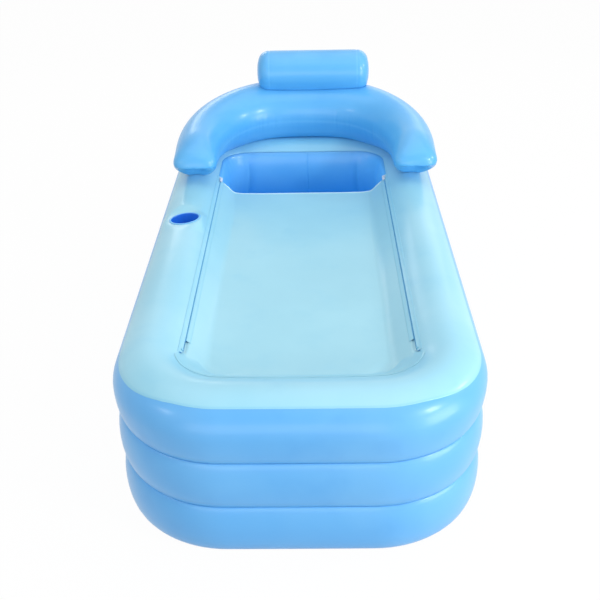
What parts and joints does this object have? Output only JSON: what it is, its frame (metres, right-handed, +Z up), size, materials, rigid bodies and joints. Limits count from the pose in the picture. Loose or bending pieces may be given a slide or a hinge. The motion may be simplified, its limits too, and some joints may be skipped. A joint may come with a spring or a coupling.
{
  "type": "inflatable bathtub",
  "caption": "Inflatable bathtub with a wall of stacked air rings, a zipped fold-back cover, a horseshoe backrest, a head pillow, a cup holder and a drain.",
  "frame": {"origin": "middle of the part's bounding box at the ground, under the ground sheet", "axes": "+Z up, +Y to the head end with the backrest, +X to the right of a person who looks from the foot to the head"},
  "size_m": [0.8394, 1.7159, 0.6738],
  "materials": {
    "film_blue": "glossy soft vinyl film",
    "film_aqua": "glossy soft vinyl film",
    "film_floor": "satin soft vinyl film",
    "cup_blue": "moulded vinyl, satin",
    "zip_blue": "woven tape with moulded teeth",
    "valve_clear": "moulded soft vinyl, milky",
    "slider_white": "moulded hard plastic"
  },
  "bodies": {
    "tub": {"ground_sheet": "film_blue", "lower_ring": "film_blue", "middle_ring": "film_blue", "upper_ring": "film_blue", "top_panel": "film_aqua", "floor_cushion": "film_floor", "backrest_tube": "film_blue", "head_pillow": "film_blue", "cup_holder": "cup_blue", "cover_foot_end": "film_aqua", "zip_left_rim_tape": "zip_blue", "zip_left_stop": "slider_white", "zip_right_rim_tape": "zip_blue", "zip_right_stop": "slider_white", "lower_ring_valve": "valve_clear", "middle_ring_valve": "valve_clear", "upper_ring_valve": "valve_clear", "floor_cushion_valve": "valve_clear", "backrest_tube_valve": "valve_clear", "head_pillow_valve": "valve_clear", "drain_pipe": "valve_clear", "drain_inner_flange": "valve_clear"},
    "cover": {"cover_flap": "film_aqua", "cover_hem": "film_aqua", "zip_left_cover_tape": "zip_blue", "zip_right_cover_tape": "zip_blue"},
    "left_slider": {"zip_left_slider": "slider_white"},
    "left_pull": {"zip_left_pull": "slider_white"},
    "right_slider": {"zip_right_slider": "slider_white"},
    "right_pull": {"zip_right_pull": "slider_white"},
    "lower_ring_plug": {"lower_ring_valve_plug": "valve_clear"},
    "middle_ring_plug": {"middle_ring_valve_plug": "valve_clear"},
    "upper_ring_plug": {"upper_ring_valve_plug": "valve_clear"},
    "floor_plug": {"floor_cushion_valve_plug": "valve_clear"},
    "backrest_plug": {"backrest_tube_valve_plug": "valve_clear"},
    "pillow_plug": {"head_pillow_valve_plug": "valve_clear"},
    "drain_outer_cap": {"drain_cap": "valve_clear"},
    "drain_inner_stopper": {"drain_stopper": "valve_clear"}
  },
  "joints": [
    {"name": "cover_fold", "type": "hinge", "parent": "tub", "child": "cover", "pos_m": [0, -0.56811, 0.35618], "axis": [1, 0, 0], "range_deg": [0, 150]},
    {"name": "left_slider_slide", "type": "slide", "parent": "tub", "child": "left_slider", "axis": [0, -1, 0], "range_m": [0, 0.974]},
    {"name": "left_pull_swing", "type": "hinge", "parent": "left_slider", "child": "left_pull", "pos_m": [-0.2592, 0.39689, 0.36049], "axis": [-0.7997, 0, 0.6005], "range_deg": [0, 170]},
    {"name": "right_slider_slide", "type": "slide", "parent": "tub", "child": "right_slider", "axis": [0, -1, 0], "range_m": [0, 0.974]},
    {"name": "right_pull_swing", "type": "hinge", "parent": "right_slider", "child": "right_pull", "pos_m": [0.2592, 0.39689, 0.36049], "axis": [-0.7997, 0, -0.6005], "range_deg": [0, 170]},
    {"name": "lower_ring_plug_swing", "type": "hinge", "parent": "tub", "child": "lower_ring_plug", "pos_m": [0.15, 0.74453, 0.07295], "axis": [1, 0, 0], "range_deg": [0, 150]},
    {"name": "middle_ring_plug_swing", "type": "hinge", "parent": "tub", "child": "middle_ring_plug", "pos_m": [0.15, 0.74453, 0.19595], "axis": [1, 0, 0], "range_deg": [0, 150]},
    {"name": "upper_ring_plug_swing", "type": "hinge", "parent": "tub", "child": "upper_ring_plug", "pos_m": [0.15, 0.74453, 0.32045], "axis": [1, 0, 0], "range_deg": [0, 150]},
    {"name": "floor_plug_swing", "type": "hinge", "parent": "tub", "child": "floor_plug", "pos_m": [0, 0.33239, 0.04873], "axis": [1, 0, 0], "range_deg": [0, 150]},
    {"name": "backrest_plug_swing", "type": "hinge", "parent": "tub", "child": "backrest_plug", "pos_m": [0.01, 0.85721, 0.47731], "axis": [1, 0, 0], "range_deg": [0, 150]},
    {"name": "pillow_plug_swing", "type": "hinge", "parent": "tub", "child": "pillow_plug", "pos_m": [0.038, 0.80906, 0.61431], "axis": [1, 0, 0], "range_deg": [0, 150]},
    {"name": "drain_cap_swing", "type": "hinge", "parent": "tub", "child": "drain_outer_cap", "pos_m": [0, 0.74573, 0.07945], "axis": [1, 0, 0], "range_deg": [0, 150]},
    {"name": "drain_stopper_swing", "type": "hinge", "parent": "tub", "child": "drain_inner_stopper", "pos_m": [0, 0.6031, 0.07945], "axis": [-1, 0, 0], "range_deg": [0, 150]}
  ]
}
